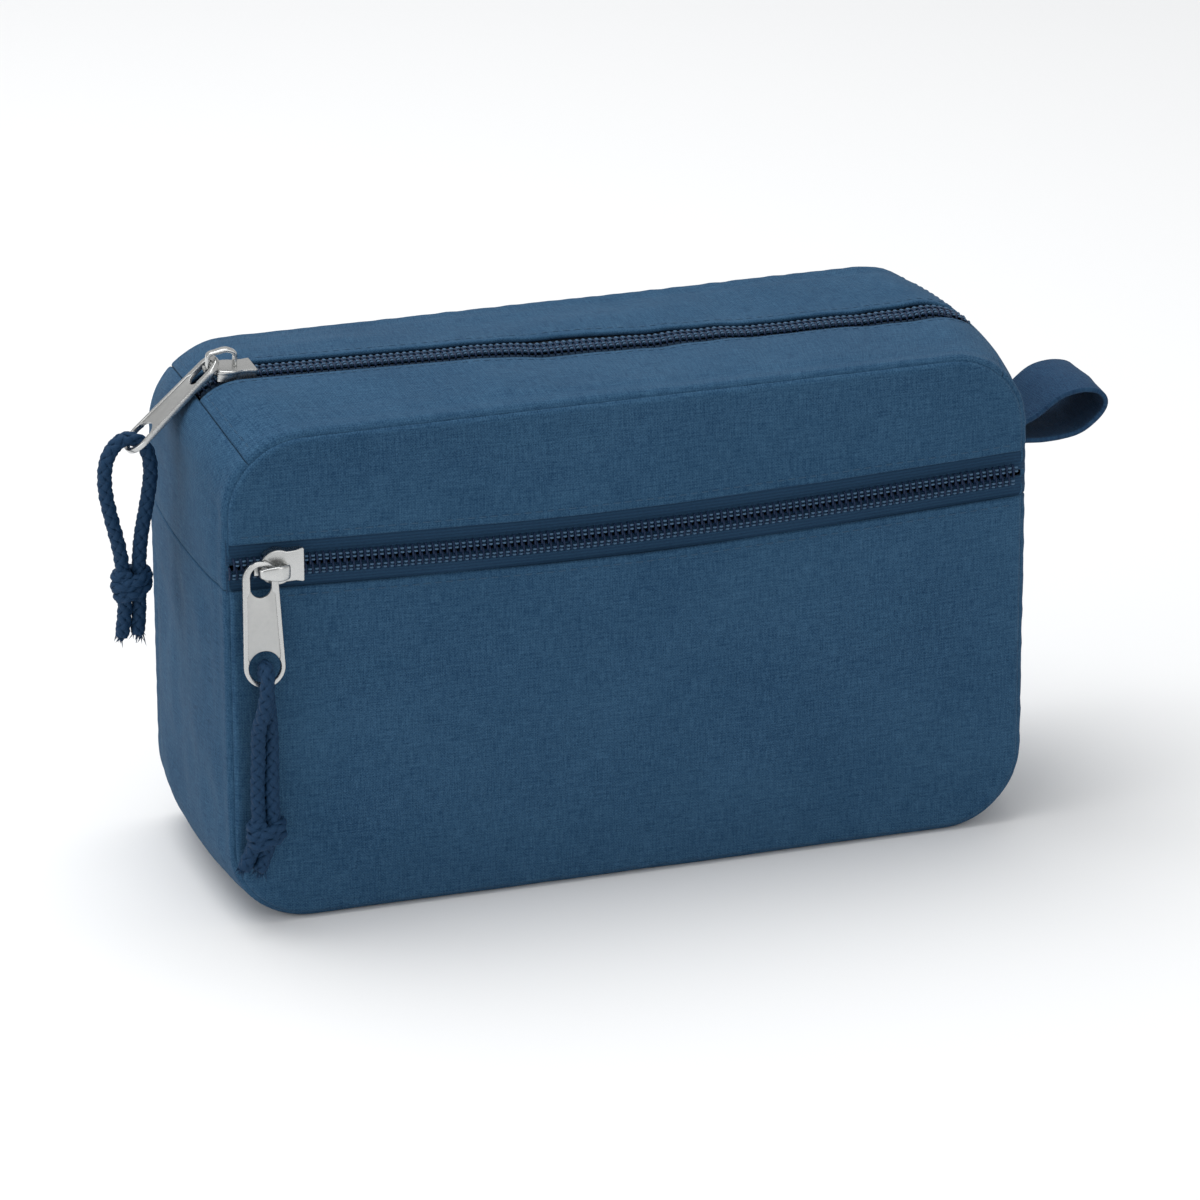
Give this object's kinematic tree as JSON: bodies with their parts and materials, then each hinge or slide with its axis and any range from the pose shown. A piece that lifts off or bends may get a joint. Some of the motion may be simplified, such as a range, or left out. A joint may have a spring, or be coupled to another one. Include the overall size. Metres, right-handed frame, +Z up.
{
  "type": "pencil case",
  "caption": "Boxy zipped cloth pencil case with a top zip, a zipped front pocket, metal pulls with knotted cords and a fabric carry loop at one end.",
  "frame": {"origin": "centre of the base, on the surface that the case stands on", "axes": "+X along the width towards the carry loop, +Y towards the back panel, +Z up"},
  "size_m": [0.2837, 0.0928, 0.1505],
  "materials": {
    "case_cloth": "plain linen weave",
    "lining": "thin smooth weave",
    "binding": "bias tape",
    "zip_tape": "knitted tape",
    "zip_coil": "nylon coil",
    "slider_metal": "satin",
    "cord": "braided"
  },
  "bodies": {
    "case": {"bottom_gusset": "case_cloth", "left_end_tab": "case_cloth", "right_end_tab": "case_cloth", "top_front_strip": "case_cloth", "top_back_strip": "case_cloth", "front_upper_panel": "case_cloth", "pocket_front_panel": "case_cloth", "back_panel": "case_cloth", "pocket_back_panel": "lining", "front_seam_binding": "binding", "back_seam_binding": "binding", "main_zip_tape_front": "zip_tape", "main_zip_tape_back": "zip_tape", "main_zip_coil_front": "zip_coil", "main_zip_coil_back": "zip_coil", "pocket_zip_tape_upper": "zip_tape", "pocket_zip_tape_lower": "zip_tape", "pocket_zip_coil_upper": "zip_coil", "pocket_zip_coil_lower": "zip_coil"},
    "main_slider": {"main_slider_body": "slider_metal", "main_slider_bridge": "slider_metal"},
    "main_pull": {"main_pull_tab": "slider_metal"},
    "main_cord": {"main_pull_cord": "cord", "main_cord_knot": "cord"},
    "pocket_slider": {"pocket_slider_body": "slider_metal", "pocket_slider_bridge": "slider_metal"},
    "pocket_pull": {"pocket_pull_tab": "slider_metal"},
    "pocket_cord": {"pocket_pull_cord": "cord", "pocket_cord_knot": "cord"},
    "loop": {"carry_loop": "case_cloth"}
  },
  "joints": [
    {"name": "main_slide", "type": "slide", "parent": "case", "child": "main_slider", "axis": [0.9996, 0, -0.0283], "range_m": [0, 0.045]},
    {"name": "main_pull_swing", "type": "hinge", "parent": "main_slider", "child": "main_pull", "pos_m": [-0.1037, 0, 0.14758], "axis": [0, 1, 0], "range_deg": [0, 205]},
    {"name": "main_cord_swing", "type": "hinge", "parent": "main_pull", "child": "main_cord", "pos_m": [-0.12825, 0, 0.12509], "axis": [0, 1, 0], "range_deg": [0, 50]},
    {"name": "pocket_slide", "type": "slide", "parent": "case", "child": "pocket_slider", "axis": [1, 0, 0], "range_m": [0, 0.196]},
    {"name": "pocket_pull_swing", "type": "hinge", "parent": "pocket_slider", "child": "pocket_pull", "pos_m": [-0.10435, -0.0436, 0.1035], "axis": [0, 1, 0], "range_deg": [-25, 40]},
    {"name": "pocket_cord_swing", "type": "hinge", "parent": "pocket_pull", "child": "pocket_cord", "pos_m": [-0.10435, -0.04708, 0.07263], "axis": [-1, 0, 0], "range_deg": [0, 75]},
    {"name": "carry_loop_flex", "type": "hinge", "parent": "case", "child": "loop", "pos_m": [0.1163, 0, 0.103], "axis": [0, 1, 0], "range_deg": [-25, 25], "stiffness_Nm_per_rad": 0.03}
  ],
  "couplings": [
    {"joint": "main_pull_swing", "follows": "main_slide", "rad_per_m": 78.54},
    {"joint": "main_cord_swing", "follows": "main_slide", "rad_per_m": 18.423}
  ]
}
